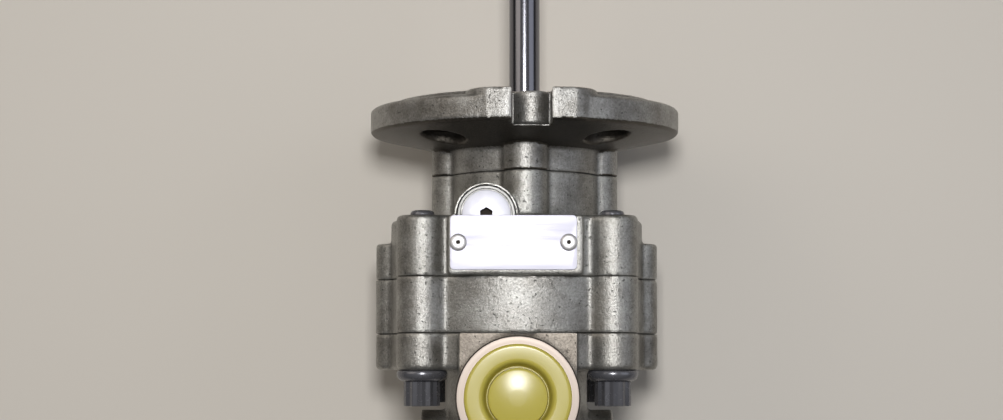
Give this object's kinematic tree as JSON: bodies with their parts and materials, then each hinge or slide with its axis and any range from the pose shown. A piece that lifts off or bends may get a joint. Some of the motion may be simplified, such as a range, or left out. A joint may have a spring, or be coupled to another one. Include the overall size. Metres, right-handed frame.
{
  "type": "power steering pump",
  "caption": "Internal gear oil pump: round mounting flange on a ribbed neck, bolted three-piece cast body, keyed shaft, flow valve and capped inlet and outlet ports.",
  "frame": {"origin": "where the shaft's axis meets the machined mounting face, the centre of the bolt circle", "axes": "+Y along the shaft to its free end, +Z along the inlet port's axis to its mouth, +X to the right seen with +Y up and +Z to the eye"},
  "size_m": [0.159, 0.261, 0.1577],
  "materials": {
    "cast_flange": "as cast",
    "cast_housing": "as cast",
    "cast_ring": "as cast",
    "cast_cover": "as cast with a machined port face",
    "polished_steel": "ground",
    "key_steel": "ground",
    "sintered_steel": "sintered",
    "bearing_steel": "polished",
    "cage_plastic": "moulded",
    "spring_steel": "phosphated",
    "black_rubber": "matt",
    "bush_bronze": "plain",
    "black_screw": "black oxide",
    "zinc_steel": "zinc plated",
    "cap_yellow": "moulded",
    "copper_washer": "plain",
    "plate_aluminium": "satin",
    "rivet_aluminium": "bright"
  },
  "bodies": {
    "housing": {"mounting_flange": "cast_flange", "drive_housing": "cast_housing", "rotor_ring": "cast_ring", "port_cover": "cast_cover", "bearing_outer_ring": "bearing_steel", "housing_clip": "spring_steel", "shaft_seal": "black_rubber", "front_bush": "bush_bronze", "rear_bush": "bush_bronze", "flange_seal": "black_rubber", "front_body_seal": "black_rubber", "rear_body_seal": "black_rubber", "dowel_pins": "key_steel", "body_screws": "black_screw", "flange_screws": "black_screw", "gallery_plugs": "zinc_steel", "inlet_cap": "cap_yellow", "outlet_cap": "cap_yellow", "valve_plug": "zinc_steel", "valve_plug_seal": "copper_washer", "flow_spring": "spring_steel", "name_plate": "plate_aluminium", "plate_rivets": "rivet_aluminium"},
    "shaft": {"drive_shaft": "polished_steel", "rotor_key": "key_steel", "inner_rotor": "sintered_steel", "bearing_inner_ring": "bearing_steel", "shaft_clip": "spring_steel"},
    "outer_gear": {"outer_rotor": "sintered_steel"},
    "ball_set": {"bearing_balls": "bearing_steel", "bearing_cage": "cage_plastic"},
    "flow_valve": {"flow_spool": "key_steel", "relief_retainer": "key_steel", "relief_spring": "spring_steel"},
    "relief": {"relief_ball": "bearing_steel"}
  },
  "joints": [
    {"name": "shaft_spin", "type": "hinge", "parent": "housing", "child": "shaft", "pos_m": [0, 0, 0], "axis": [0, 1, 0], "continuous": true},
    {"name": "rotor_spin", "type": "hinge", "parent": "housing", "child": "outer_gear", "pos_m": [-0.0041, 0, 0], "axis": [0, 1, 0], "continuous": true},
    {"name": "cage_spin", "type": "hinge", "parent": "housing", "child": "ball_set", "pos_m": [0, 0, 0], "axis": [0, 1, 0], "continuous": true},
    {"name": "spool_slide", "type": "slide", "parent": "housing", "child": "flow_valve", "axis": [0, 0, 1], "range_m": [0, 0.008], "stiffness_N_per_m": 3000, "springref_m": -0.01, "deforming": ["flow_spring"]},
    {"name": "relief_lift", "type": "slide", "parent": "flow_valve", "child": "relief", "axis": [0, 0, 1], "range_m": [0, 0.0012], "stiffness_N_per_m": 3000, "springref_m": -0.004, "deforming": ["relief_spring"]}
  ],
  "couplings": [
    {"joint": "rotor_spin", "follows": "shaft_spin", "ratio": 0.85714},
    {"joint": "cage_spin", "follows": "shaft_spin", "ratio": 0.38246}
  ]
}
